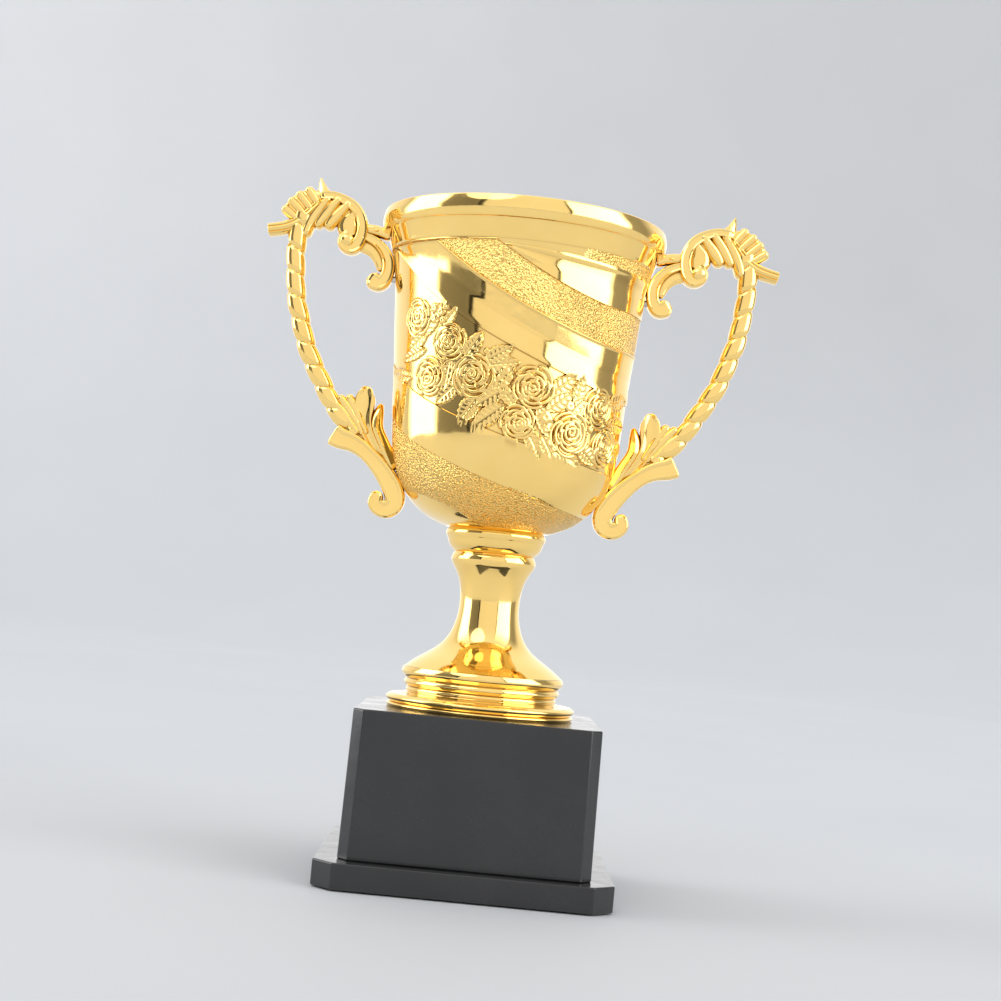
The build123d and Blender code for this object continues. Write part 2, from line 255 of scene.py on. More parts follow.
def band_edges(theta):
    """Heights of the band edges above the seat, lowest first."""
    bead = sweep(theta, 93.7, 58, 0.00456)
    shoulder = sweep(theta, 113.0, 52, 0.0062)
    neck_line = 134.4 - 2.4 * np.tanh((theta - 8) / 38)
    edges = [
        np.zeros_like(theta),
        15.0 - 11.0 * np.maximum((theta + 75) / 50, 0) ** 2,
        sweep(theta, 10.0, 75, 0.00183),
        sweep(theta, 31.8, 80, 0.00182),
        sweep(theta, 69.0, 75, 0.00314),
        bead - BEAD_WIDTH / 2,
        bead + BEAD_WIDTH / 2,
        shoulder,
        np.maximum(neck_line, shoulder),
        np.full_like(theta, COVE),
        np.full_like(theta, CREASE),
    ]
    edges = np.array(edges)
    below_cove = len(edges) - 3
    for i in range(below_cove, 0, -1):
        edges[i] = np.minimum(edges[i], edges[i + 1] - THINNEST_BAND)
    for i in range(1, below_cove + 1):
        edges[i] = np.maximum(edges[i], edges[i - 1] + THINNEST_BAND)
    middle = (edges[:, :1] + edges[:, -1:]) / 2
    seam = smoothstep((np.abs(theta) - SEAM_START) / SEAM_FADE)
    return edges * (1 - seam) + middle * seam


# ------------ relief of the cup

# Roses as (angle, height above the seat, radius, turn of the petals in radians).
ROSES = [
    (-51.0, 99.5, 9.4, 0.3),
    (-31.0, 87.0, 9.4, 1.2),
    (-42.0, 70.5, 9.4, 2.3),
    (-18.0, 71.2, 10.7, 0.9),
    (10.8, 68.6, 10.3, 1.9),
    (4.8, 50.7, 8.7, 2.8),
    (31.8, 48.2, 11.0, 0.6),
    (47.5, 63.3, 10.3, 3.4),
    (57.0, 45.0, 10.2, 1.5),
]

# Leaves as (angle and height at the stalk, angle and height at the tip, width, number of ribs).
LEAVES = [
    (-44.0, 92.0, -57.0, 84.0, 8.0, 6),
    (-44.0, 84.0, -64.0, 79.0, 6.0, 7),
    (-54.0, 70.0, -79.0, 75.0, 6.5, 8),
    (-46.0, 90.0, -36.0, 107.5, 9.0, 7),
    (-37.0, 92.0, -27.5, 104.0, 6.0, 6),
    (-33.0, 78.0, -38.0, 92.0, 6.0, 6),
    (-22.5, 80.0, -14.5, 93.0, 8.0, 5),
    (-26.0, 78.5, -24.0, 94.0, 6.0, 5),
    (-14.5, 76.5, 3.5, 79.5, 9.5, 8),
    (-13.0, 78.5, 0.0, 87.0, 8.0, 7),
    (-9.0, 62.0, 1.5, 78.0, 8.0, 7),
    (-25.0, 68.0, -37.0, 57.0, 8.5, 7),
    (-30.0, 80.0, -33.0, 62.0, 7.0, 6),
    (-15.0, 61.0, -23.5, 48.5, 10.5, 7),
    (-2.0, 58.5, -17.0, 46.0, 9.5, 8),
    (-3.0, 65.5, -15.5, 57.0, 8.0, 6),
    (3.0, 58.0, -5.5, 68.5, 7.0, 6),
    (19.0, 66.0, 31.5, 77.0, 9.0, 6),
    (33.0, 62.0, 35.5, 78.0, 8.0, 6),
    (18.0, 58.0, 31.5, 69.0, 8.5, 6),
    (29.0, 57.0, 40.0, 68.0, 8.0, 6),
    (14.0, 60.5, 22.0, 44.0, 9.0, 7),
    (9.0, 48.5, 18.0, 34.5, 8.5, 7),
    (17.0, 46.0, 24.0, 36.0, 8.0, 6),
    (22.0, 40.0, 42.0, 33.5, 7.0, 8),
    (37.0, 44.0, 51.0, 35.5, 9.5, 7),
    (54.0, 66.0, 76.0, 71.0, 9.5, 8),
    (57.0, 57.0, 79.0, 57.5, 9.0, 7),
    (64.0, 44.0, 81.0, 47.0, 9.0, 7),
    (60.0, 50.0, 72.0, 38.0, 7.0, 6),
]

# Buds as (angle, height, radius).
BUDS = [
    (-40.0, 104.0, 2.4), (-36.0, 102.0, 2.5), (-40.0, 98.8, 2.3), (-35.0, 98.0, 2.0),
    (-33.5, 104.6, 2.0), (-3.0, 75.0, 2.2), (-1.0, 71.8, 2.2), (-3.4, 68.6, 2.3),
    (-1.4, 65.4, 2.2), (-27.6, 78.4, 2.3), (30.0, 61.6, 3.0), (37.0, 59.5, 1.8),
    (18.0, 54.8, 3.4), (19.0, 49.2, 2.2), (18.6, 59.4, 1.5), (21.6, 43.0, 2.0),
    (24.2, 40.2, 1.8), (44.0, 52.6, 2.0), (-12.0, 83.6, 1.6),
]

# Rings of petals from the outside in, as (share of the radius, petals, height).
PETAL_RINGS = [(1.0, 5, 0.7), (0.79, 4, 0.95), (0.59, 4, 1.15), (0.4, 3, 1.3), (0.22, 2, 1.4)]
GOLDEN_TURN = 2.4


def rose_petals(x, z, radius, turn):
    """The height and the cover of each overlapping petal of a rose, from the outside in."""
    for ring, (share, petals, level) in enumerate(PETAL_RINGS):
        drift = 0.16 * radius * (1 - share)
        dx = x - drift * math.cos(2 * turn)
        dz = z - drift * math.sin(2 * turn)
        rho = np.hypot(dx, dz)
        phi = np.arctan2(dz, dx)
        reach = 1.3 * math.pi / petals
        for petal in range(petals):
            off = (phi - turn - ring * GOLDEN_TURN - TAU * petal / petals + math.pi) % TAU - math.pi
            along = off / reach
            edge = radius * share * (1.04 - 0.12 * along**2 + 0.13 * along)
            inside = edge - rho
            cover = smoothstep(inside / 0.32) * smoothstep((1 - np.abs(along)) / 0.1)
            lip = np.exp(-(((inside - 0.9) / 0.9) ** 2))
            dish = smoothstep((inside - 1.1) / 1.2)
            yield level + 0.3 * lip - 0.6 * dish, cover


def leaf_form(x, z, dx, dz, width, ribs):
    """The height and the cover of a ribbed leaf. Its stalk is at the origin and its tip at (dx, dz)."""
    length = math.hypot(dx, dz)
    along = (x * dx + z * dz) / length**2
    across = (z * dx - x * dz) / length
    inner = np.clip(along, 0, 1)
    half = width / 2 * np.sin(math.pi * inner**0.85) ** 0.75 * (1 + 0.04 * np.cos(TAU * ribs * inner))
    side = np.abs(across) / np.maximum(half, 0.05)
    cover = smoothstep((half - np.abs(across)) / 0.35) * (along > 0) * (along < 1)
    veins = 0.13 * np.cos(TAU * (ribs * inner - 0.8 * side))
    midrib = 0.35 * np.exp(-((across / 0.42) ** 2))
    rim = 0.34 * np.exp(-(((half - np.abs(across) - 0.55) / 0.42) ** 2))
    return 0.55 - 0.1 * side**2 + veins * smoothstep(side * 3) - midrib + rim, cover


def bud_form(x, z, radius):
    """The height and the cover of a round bud with a dimple."""
    rho = np.hypot(x, z) / radius
    cover = smoothstep((1 - rho) * radius / 0.45)
    return 0.35 + 0.85 * np.sqrt(np.clip(1 - rho**2, 0, 1)) - 0.35 * np.exp(-((rho / 0.25) ** 2)), cover


def pebbles(x, z, size, seed):
    """Small round lumps, packed at random places about the given size apart. They rise from 0 to 1."""
    table = np.random.RandomState(seed).uniform(-0.38, 0.38, (2, 256, 256))
    u = x / size
    v = z / size
    i = np.round(u).astype(int)
    j = np.round(v).astype(int)
    nearest = np.full(u.shape, 9.0)
    for di in (-1, 0, 1):
        for dj in (-1, 0, 1):
            shift_u = table[0, (i + di) % 256, (j + dj) % 256]
            shift_v = table[1, (i + di) % 256, (j + dj) % 256]
            nearest = np.minimum(nearest, np.hypot(u - i - di - shift_u, v - j - dj - shift_v))
    return np.clip(1 - (nearest / 0.62) ** 2, 0, 1)


def band_relief(name, share):
    """How far a band stands out, for rows that run from its lower edge (0) to its upper edge (1)."""
    crown = 4 * share * (1 - share)
    lifts = {
        "crescent": 0.0,
        "lower_sand": 0.05,
        "lower_ribbon": 0.6 + 0.1 * crown,
        "roses": -0.1,
        "upper_ribbon": np.interp(share, [0, 0.08, 0.52, 0.58, 1], [0.9, 0.95, -0.1, -0.12, 0.4]),
        "bead": 0.55 + 0.45 * crown,
        "upper_sand": 0.1,
        "shoulder": np.interp(share, [0, 0.4, 0.75, 0.82, 1], [0.75, 0.75, 0.1, 0.1, 0.4]),
        "neck_sand": 0.1,
        "neck": 0.45 * (1 - share),
    }
    return lifts[name]


def cup_outline(count):
    """The cup's smooth outline with its outward direction, as (radius, height, outward r, outward z)."""
    outline = spline(BOWL_SIDE, count)
    ahead = np.gradient(outline, axis=0)
    ahead /= np.linalg.norm(ahead, axis=1)[:, None]
    return np.column_stack([outline, ahead[:, 1], -ahead[:, 0]])


def blurred(field):
    """The field averaged over about a millimetre each way."""
    for axis in (0, 1):
        total = 3 * field
        for step, weight in ((1, 2), (2, 1), (3, 0.5)):
            total = total + weight * (np.roll(field, step, axis) + np.roll(field, -step, axis))
        field = total / 10
    return field


def band_grid(theta):
    """Rows of points over all the bands, with the height, the relief and the share of sand at each."""
    edges = band_edges(theta)
    heights = []
    lift = []
    sand = []
    for k, (name, rows) in enumerate(BAND_ROWS.items()):
        shape = (rows, len(theta))
        share = np.linspace(0, 1, rows)[:, None]
        low = edges[k] + (STEP if k else 0)
        high = edges[k + 1] - STEP
        heights.append(low + (high - low) * share)
        lift.append(np.broadcast_to(band_relief(name, share), shape))
        sandy = float(name.endswith("sand"))
        if name == "neck_sand":
            sandy = smoothstep((theta - NECK_SAND_START) / NECK_SAND_FADE)
        sand.append(np.broadcast_to(sandy, shape))
    return np.vstack(heights), np.vstack(lift), np.vstack(sand)


def lay_flowers(theta, heights, side, lift, sand):
    """Lays the leaves, then the buds, then the roses over the relief, and clears the sand under them."""
    radius = np.interp(heights, side[:, 1], side[:, 0])

    def window(angle, height, across, up):
        """The points near a place, with their distances across and up from it."""
        x = np.radians(theta - angle) * radius
        z = heights - height
        near = (np.abs(x) < across) & (np.abs(z) < up)
        return near, x[near], z[near]

    def lay(near, height, cover):
        lift[near] = lift[near] * (1 - cover) + height * cover
        sand[near] *= 1 - cover

    for angle, height, tip_angle, tip_height, width, ribs in LEAVES:
        near, x, z = window(angle, height, *LEAF_WINDOW)
        tip_x = math.radians(tip_angle - angle) * np.interp(height, side[:, 1], side[:, 0])
        lay(near, *leaf_form(x, z, tip_x, tip_height - height, width, ribs))
    for angle, height, size in BUDS:
        near, x, z = window(angle, height, size, size)
        lay(near, *bud_form(x, z, size))
    for angle, height, size, turn in ROSES:
        near, x, z = window(angle, height, ROSE_WINDOW * size, ROSE_WINDOW * size)
        for petal_height, cover in rose_petals(x, z, size, turn):
            lay(near, petal_height, cover)


def cup_front():
    """Half a turn of the cup's outer side, as rows of points with the share of sand and of painted groove
    shade at each.
    """
    theta = np.linspace(-90, 90, HALF_TURN_COLUMNS, endpoint=False)
    heights, lift, sand = band_grid(theta)
    side = cup_outline(3000)
    radius, out_r, out_z = (np.interp(heights, side[:, 1], side[:, i]) for i in (0, 2, 3))
    lift += sand * PEBBLE_HEIGHT * pebbles(np.radians(theta) * radius, heights, PEBBLE_SPACING, PEBBLE_SEED)
    lay_flowers(theta, heights, side, lift, sand)
    patterned = smoothstep((90 - np.abs(theta) - PLAIN_STRIP) / PLAIN_FADE)
    lift *= patterned
    sand *= patterned
    # Painted shade: the groove share grows with how far a point lies below the relief around it, less on
    # sand.
    groove = np.clip((blurred(lift) - lift) / GROOVE_DEPTH, 0, 1) * (1 - 0.5 * sand)
    above_seat = heights > 0.01
    r = radius + lift * out_r * above_seat
    z = heights + lift * out_z * above_seat
    return theta, r, z, sand, groove


def cup_rest():
    """The rim, the inside and the floor of the cup as one outline, from the crease round to the seat."""
    rim = spline(BOWL_RIM, 14)
    turn = np.linspace(0, math.pi, 9)[1:-1]
    top = RIM_Z - BOWL_Z
    lip_middle = BOWL_RIM[-1][0] - LIP_RADIUS
    lip_rise = top - BOWL_RIM[-1][1]
    lip = [(lip_middle + LIP_RADIUS * math.cos(a), BOWL_RIM[-1][1] + lip_rise * math.sin(a)) for a in turn]
    side = cup_outline(64)[::-1]
    wall = side[:, :2] - BOWL_WALL * side[:, 2:]
    wall = wall[wall[:, 1] > BOWL_FLOOR]
    under_lip = (lip_middle - LIP_RADIUS, BOWL_RIM[-1][1] - 0.4)
    knee = [under_lip, (wall[0][0] + 0.9, wall[0][1] + 4.2), tuple(wall[0])]
    inside = list(map(tuple, spline(knee, 8)[:-1])) + list(map(tuple, wall))
    floor_edge = wall[-1][0] - 1.5
    floor = [(floor_edge, BOWL_FLOOR), (floor_edge - 8, BOWL_FLOOR), (ROD_HOLE, BOWL_FLOOR)]
    seat = [(ROD_HOLE, 0.0), (BOWL_SIDE[0][0] - 1.5, 0.0)]
    crease = [(BOWL_SIDE[-1][0] + 0.1, CREASE - 0.05), (BOWL_SIDE[-1][0] + 0.6, CREASE + 0.05)]
    return np.array(crease + list(map(tuple, rim)) + lip + inside + floor + seat)


# Flat seats inside the cup for the handles' washers, as (distance of the face from the axis, height, radius).
WASHER_SEATS = [(60.4, 306.0, 5.0), (48.6, 206.0, 4.6)]
SEAT_POINTS = 48


def washer_seat(side, face_x, seat_z, radius):
    """A short round boss that grows out of the cup's wall, as points and faces."""
    angle = np.linspace(0, TAU, SEAT_POINTS, endpoint=False)
    outline = cup_outline(600)

    def wall_x(y, z):
        return np.sqrt(np.interp(z - BOWL_Z, outline[:, 1], outline[:, 0]) ** 2 - y**2) - BOWL_WALL / 2

    rings = []
    for reach, back in ((0.01, 0), (radius - 0.4, 0), (radius, 0.4), (radius, None), (0.01, None)):
        y = reach * np.cos(angle)
        z = seat_z + reach * np.sin(angle)
        x = wall_x(y, z) if back is None else np.full(SEAT_POINTS, face_x + back)
        rings.append(np.column_stack([side * x, y, z]))
    faces = ring_faces(len(rings), SEAT_POINTS).tolist()
    faces.append(list(range(SEAT_POINTS)))
    faces.append([i + (len(rings) - 1) * SEAT_POINTS for i in range(SEAT_POINTS)])
    return np.vstack(rings), faces


def make_cup_mesh():
    """The cup as one closed skin: the patterned side twice round, the plain rest, and the washers' seats."""
    theta, r, z, sand, groove = cup_front()
    angle = np.radians(np.concatenate([theta, theta + 180]))
    rest = cup_rest()
    around = len(angle)
    r = np.vstack([np.hstack([r, r]), np.repeat(rest[:, :1], around, axis=1)])
    z = np.vstack([np.hstack([z, z]), np.repeat(rest[:, 1:], around, axis=1)])
    points = np.stack([r * np.sin(angle), -r * np.cos(angle), z + BOWL_Z], axis=-1).reshape(-1, 3)
    faces = ring_faces(len(r), around, closed=True).tolist()
    for side in (1, -1):
        for face_x, seat_z, radius in WASHER_SEATS:
            seat_points, seat_faces = washer_seat(side, face_x, seat_z, radius)
            faces += [[i + len(points) for i in face] for face in seat_faces]
            points = np.vstack([points, seat_points])
    mesh = new_mesh("cup", points, faces, 50)
    # The groove share is painted shade for the gold in the relief's hollows.
    for name, share in (("sand", sand), ("groove", groove)):
        values = np.zeros(len(points), np.float32)
        both = np.hstack([share, share]).ravel()
        values[: len(both)] = both
        mesh.attributes.new(name, "FLOAT", "POINT").data.foreach_set("value", values)
    return mesh


# ------------ turned pieces


def collar_mesh():
    """The knob under the cup: a broad bead over a cove."""
    height = BOWL_Z - COLLAR_Z
    bead = spline([(24.2, height), (25.8, 10.1), (25.2, 7.6)], 16)
    cove = spline([(24.8, 7.2), (23.4, 3.3), (20.2, 0.0)], 16)
    outline = [(ROD_HOLE, 0.0), (ROD_HOLE, height), (22.0, height)] + list(bead) + list(cove)
    return turned("collar", outline, COLLAR_Z)


def stem_mesh():
    """The waisted stem with a bead at its top, flaring out to the foot."""
    height = COLLAR_Z - STEM_Z
    bead = spline([(20.6, height), (21.8, 57.5), (20.9, 54.6)], 14)
    waist = [(20.6, 54.2), (17.6, 48.6), (15.5, 37.6), (16.8, 24.6), (22.6, 13.6), (34.5, 4.8), (40.6, 0.0)]
    hollow = spline([(38.4, 0.0), (33.0, 3.0), (21.0, 12.2), (14.6, 24.2), (13.2, 37.6), (13.6, 49.6)], 30)
    outline = list(bead) + list(spline(waist, 60)) + list(hollow)
    outline += [(12.6, 52.0), (ROD_HOLE, 53.6), (ROD_HOLE, height)]
    return turned("stem", outline, STEM_Z)


def foot_mesh():
    """The stepped foot: a bead, two fine rings and a cove that opens to a wide bead."""
    height = STEM_Z - FOOT_Z
    outline = [(36.0, 0.0), (36.0, height), (40.4, height)]
    outline += list(spline([(41.0, 18.2), (41.8, 15.8), (40.0, 12.9)], 12))
    outline += list(spline([(39.2, 12.5), (40.2, 10.5), (39.2, 8.6)], 10))
    outline += list(spline([(38.2, 8.2), (38.9, 7.0), (38.6, 5.8)], 8))
    outline += list(spline([(38.7, 5.6), (42.0, 4.6), (47.0, 4.0)], 12))
    outline += list(spline([(47.2, 3.8), (48.8, 2.3), (47.2, 0.0)], 12))
    return turned("foot", outline, FOOT_Z)


def foot_ring_mesh():
    """The flat ring with a rounded edge between the foot and the black base."""
    height = FOOT_Z - FOOT_RING_Z
    edge = spline([(47.6, 0.0), (48.4, 1.3), (46.6, height)], 12)
    outline = [(30.0, 0.0)] + list(edge) + [(30.0, height)]
    return turned("foot_ring", outline, FOOT_RING_Z)


# ------------ handles

# The height of the handles' tips as drawn here.
DRAWN_TOP = 355.0

# A limb's points across its width, the spacing of its sections, and the angles round its ends in degrees.
SECTION_STEPS = 17
LIMB_STEP = 0.7
END_TURNS = [80, 62, 45, 30, 15]


def section_height(style, u):
    """The height of a limb's section across its width, from -1 to 1. The full height is 1."""
    soft = (1 - np.abs(u) ** 3.2) ** (1 / 3.2) * (1 - 0.1 * u**2)
    crisp = (1 - np.abs(u) ** 6.0) ** (1 / 6.0) * (1 - 0.05 * u**2)
    full = (1 - np.abs(u) ** 3.0) ** (1 / 3.0)
    styles = {
        "soft": soft,
        "round": np.sqrt(1 - u**2),
        "spoon": crisp * (0.62 + 0.38 * np.abs(u) ** 1.6),
        "band": crisp * (0.88 + 0.12 * smoothstep((np.abs(u) - 0.4) / 0.3)),
        "facet": soft * (0.78 + 0.22 * np.abs(np.cos(1.5 * math.pi * u))),
        "keel": soft * (0.72 + 0.28 * (1 - np.abs(u)) ** 1.5),
        "pillow": full * (1 - 0.16 * np.abs(u) ** 1.6),
    }
    return styles[style]


def limb(name, stations, depth, style, start=0.9, end=0.9, thinning=0.0):
    """A closed, flattened limb in the handle's plane. A station is (x, z, half width), and depth is half too.

    Start and end are how far the rounded ends stand out, as a share of the half width. With thinning, the
    depth falls off with the width.
    """
    length = sum(math.dist(a[:2], b[:2]) for a, b in zip(stations, stations[1:]))
    path = spline(stations, max(6, int(length / LIMB_STEP)))
    ahead = np.gradient(path[:, :2], axis=0)
    ahead /= np.linalg.norm(ahead, axis=1)[:, None]
    turns = np.radians(END_TURNS)
    rings = []
    for a in turns:
        rings.append((path[0], -ahead[0] * start * math.sin(a), math.cos(a), ahead[0]))
    for place, direction in zip(path, ahead):
        rings.append((place, 0 * direction, 1.0, direction))
    for a in turns[::-1]:
        rings.append((path[-1], ahead[-1] * end * math.sin(a), math.cos(a), ahead[-1]))
    widest = max(half for _, _, half in stations)
    u = -np.cos(np.linspace(0, math.pi, SECTION_STEPS))
    height = section_height(style, np.clip(u, -1, 1))
    across = np.concatenate([u, u[-2:0:-1]])
    front = np.concatenate([-height, height[-2:0:-1]])
    points = []
    for (x, z, half), shift, shrink, direction in rings:
        middle_x = x + shift[0] * half
        middle_z = z + shift[1] * half
        side = half * shrink * across
        y = depth * shrink**0.5 * min(1.0, half / widest) ** thinning * front
        points.append(np.column_stack([middle_x - direction[1] * side, y, middle_z + direction[0] * side]))
    around = len(across)
    faces = [list(f) for f in ring_faces(len(rings), around)]
    points = np.vstack(points)
    first_end = (0, path[0], -ahead[0], start)
    last_end = (len(rings) - 1, path[-1], ahead[-1], end)
    for ring, (x, z, half), direction, share in (first_end, last_end):
        pole = len(points)
        tip = [x + direction[0] * half * share, 0.0, z + direction[1] * half * share]
        points = np.vstack([points, tip])
        ids = ring * around + np.arange(around)
        faces += [[pole, a, b] for a, b in zip(ids, np.roll(ids, -1))]
    return new_mesh(name, points, faces)


GRIP_PATH = [
    (114.6, 335.0), (116.6, 326.0), (116.8, 312.0), (115.6, 300.0), (114.0, 290.0), (111.0, 280.0),
    (107.8, 270.0), (103.2, 260.0), (97.4, 250.0), (91.3, 240.0), (84.6, 231.6), (76.5, 225.0),
]
TWIST_PITCH = 12.4
TWIST_START = 14.8
GRIP_RADIUS = 5.1
GRIP_SQUARENESS = 2.4
GROOVE_SHARE = 0.2
GROOVE_WIDTH = 0.22
BULGE_SHARE = 0.07
TAPER = 0.12
TAPER_START = 90
TAPER_LENGTH = 40


def grip_mesh():
    """The grip, cut with one spiral groove so that it looks like a twisted rope."""
    path = spline(GRIP_PATH, 300)
    step = np.linalg.norm(np.diff(path, axis=0), axis=1)
    length = np.concatenate([[0.0], np.cumsum(step)])
    ahead = np.gradient(path, axis=0)
    ahead /= np.linalg.norm(ahead, axis=1)[:, None]
    around = 56
    phi = np.linspace(0, TAU, around, endpoint=False)
    phase = math.pi * (length - TWIST_START)[:, None] / TWIST_PITCH - phi / 2
    taper = 1 - TAPER * smoothstep((length - TAPER_START) / TAPER_LENGTH)[:, None]
    square = np.abs(np.cos(phi)) ** GRIP_SQUARENESS + np.abs(np.sin(phi)) ** GRIP_SQUARENESS
    square = square ** (1 / GRIP_SQUARENESS)
    away = np.abs(np.sin(phase))
    groove = GROOVE_SHARE * np.exp(-away / GROOVE_WIDTH) + BULGE_SHARE * (1 - away)
    r = GRIP_RADIUS / square * (1 - groove) * taper
    across = r * np.cos(phi)
    x = path[:, :1] - ahead[:, 1:] * across
    z = path[:, 1:] + ahead[:, :1] * across
    y = -r * np.sin(phi)
    points = np.stack([x, y, z], axis=-1).reshape(-1, 3)
    faces = [list(f) for f in ring_faces(len(path), around)]
    faces.append(list(range(around)))
    faces.append(list(range((len(path) - 1) * around, len(path) * around))[::-1])
    return new_mesh("grip", points, faces)


def head_limbs():
    """The curled leaf that crowns the handle: arch, tip, fan, cut stalk and outer leaf."""
    arch = [
        (105.2, 345.2, 2.2), (100.5, 345.7, 2.2), (95.0, 344.3, 2.5), (89.4, 341.3, 2.8),
        (85.5, 336.9, 2.9), (83.7, 331.0, 3.0), (84.2, 325.2, 3.2), (86.6, 321.2, 3.6),
        (90.2, 320.5, 3.9), (92.6, 323.0, 3.6), (91.6, 325.8, 3.0),
    ]
    limbs = [limb("arch", arch, 5.0, "band")]
    limbs.append(limb("eye", [(90.8, 323.4, 4.7), (91.2, 323.6, 4.7)], 5.7, "round"))
    tip = [
        (103.6, 342.4, 3.8), (105.0, 345.6, 4.2), (106.0, 348.4, 2.9), (106.9, 351.4, 1.7),
        (107.6, 354.4, 0.5),
    ]
    limbs.append(limb("tip", tip, 4.7, "keel", end=0.6, thinning=0.6))
    web = [
        (88.8, 340.0, 1.2), (89.6, 336.6, 3.4), (91.0, 333.0, 5.6), (91.0, 329.6, 5.8),
        (89.9, 325.9, 4.4),
    ]
    limbs.append(limb("fan_web", web, 4.1, "pillow", end=0.12))
    back = [
        (90.0, 336.6, 3.4), (96.0, 337.8, 5.4), (102.0, 338.0, 5.8), (108.0, 336.4, 5.6),
        (113.0, 333.0, 4.6),
    ]
    limbs.append(limb("fan_back", back, 3.2, "soft"))
    ribs = [
        [(92.3, 342.0, 2.7), (95.6, 338.0, 3.5), (99.2, 333.6, 3.7), (101.0, 331.0, 3.3)],
        [(97.6, 343.8, 2.7), (101.3, 338.8, 3.4), (104.8, 333.6, 3.4), (106.6, 330.8, 2.9)],
        [(103.2, 343.6, 2.6), (107.2, 338.0, 3.4), (110.6, 331.8, 3.4), (112.6, 326.0, 3.0)],
    ]
    for i, rib in enumerate(ribs):
        limbs.append(limb(f"fan_rib_{i}", rib, 4.8, "pillow"))
    stalk = [
        (131.8, 325.5, 3.3), (127.0, 326.5, 3.4), (121.5, 328.2, 3.5), (116.0, 331.6, 3.2),
        (110.5, 337.2, 2.9), (106.5, 341.8, 2.2),
    ]
    limbs.append(limb("stalk", stalk, 5.0, "facet", start=0.2))
    lobes = [
        ((107.6, 340.6), (113.2, 347.4)), ((110.8, 337.6), (117.8, 344.8)),
        ((114.6, 335.0), (121.6, 341.2)), ((118.8, 332.9), (124.4, 336.8)),
    ]
    for i, ((x0, z0), (x1, z1)) in enumerate(lobes):
        middle = ((x0 + x1) / 2, (z0 + z1) / 2, 2.7)
        limbs.append(limb(f"lobe_{i}", [(x0, z0, 2.2), middle, (x1, z1, 2.6)], 4.5, "pillow", end=0.7))
    leaf_back = [(106.0, 344.0, 3.4), (111.2, 343.2, 5.0), (116.4, 340.4, 5.8), (120.8, 336.4, 5.0)]
    limbs.append(limb("leaf_back", leaf_back, 3.5, "soft"))
    return limbs


def bracket_limbs():
    """The C-scroll that joins the head to the cup, with its thin web and the tie above it."""
    scroll = [
        (82.6, 326.6, 2.0), (76.4, 324.3, 2.4), (71.7, 320.2, 2.8), (69.0, 315.2, 3.2),
        (68.5, 309.8, 3.3), (70.0, 305.2, 3.6), (72.8, 303.2, 4.1), (75.2, 304.0, 4.5),
    ]
    web = [(82.6, 322.0, 3.6), (78.4, 320.2, 3.4), (74.8, 316.6, 3.0), (72.6, 311.4, 2.3)]
    limbs = [limb("scroll", scroll, 4.8, "band"), limb("scroll_web", web, 2.4, "soft")]
    limbs.append(limb("tie", [(83.6, 330.2, 2.9), (77.0, 330.0, 3.0), (70.4, 328.4, 2.8)], 3.6, "soft"))
    limbs.append(limb("tie_bead", [(76.0, 329.9, 1.3), (76.6, 329.9, 1.3)], 4.3, "round"))
    return limbs


def fleur_limbs():
    """The leaves at the lower end, and the arm that curls up against the cup."""
    arm = [
        (88.0, 223.2, 6.0), (85.0, 221.8, 5.6), (80.6, 220.7, 5.1), (75.4, 218.6, 4.6),
        (69.6, 214.6, 4.3), (63.4, 208.9, 4.8), (58.3, 202.8, 5.3), (54.9, 197.0, 5.4),
        (54.0, 191.6, 5.2), (56.8, 187.9, 4.9), (61.0, 187.8, 4.5), (63.6, 190.6, 4.1),
        (63.3, 193.2, 3.6),
    ]
    limbs = [limb("arm", arm, 4.9, "band", start=0.22)]
    back = [(82.4, 238.6, 3.6), (79.8, 233.4, 5.0), (75.0, 226.8, 4.8), (69.6, 220.0, 3.8)]
    limbs.append(limb("leaf_fill", back, 3.0, "soft"))
    horn = [
        (65.4, 240.6, 1.4), (66.2, 237.4, 2.6), (67.0, 233.0, 3.4), (66.6, 228.0, 3.7),
        (64.1, 222.8, 3.8), (60.8, 216.8, 3.9), (57.4, 210.4, 3.8),
    ]
    limbs.append(limb("horn", horn, 4.8, "keel", start=0.5))
    petal = [
        (73.6, 247.2, 3.2), (73.8, 245.2, 4.6), (74.0, 242.0, 5.3), (74.1, 238.0, 5.3),
        (73.8, 234.0, 4.4), (72.2, 228.0, 3.4), (68.8, 221.6, 3.0), (64.8, 215.6, 2.8),
    ]
    limbs.append(limb("petal", petal, 4.9, "spoon", start=0.8))
    ribs = [
        [(82.0, 242.4, 2.6), (79.8, 239.0, 3.2), (76.8, 234.0, 2.9), (72.0, 226.2, 2.2)],
        [(86.4, 242.0, 2.4), (83.2, 238.2, 3.1), (79.0, 232.8, 2.9), (74.0, 225.6, 2.2)],
        [(89.6, 239.6, 2.0), (86.2, 236.6, 2.8), (82.0, 232.0, 2.8), (76.8, 225.8, 2.2)],
    ]
    for i, rib in enumerate(ribs):
        limbs.append(limb(f"leaf_rib_{i}", rib, 4.0 + 0.3 * i, "pillow"))
    return limbs


def make_handle_mesh(name, side):
    """One handle as a single closed mesh. Side is 1 for +X and -1 for its mirror image."""
    mesh = union(name, [grip_mesh()] + head_limbs() + bracket_limbs() + fleur_limbs())
    rise = HANDLE_TOP - DRAWN_TOP
    bm = bmesh.new()
    bm.from_mesh(mesh)
    for v in bm.verts:
        v.co.x *= side
        v.co.z += rise * MM
    bm.to_mesh(mesh)
    bm.free()
    mesh.shade_smooth()
    mesh.set_sharp_from_angle(angle=math.radians(42))
    return mesh


# ------------ base

SIDE_LEAN = 0.86


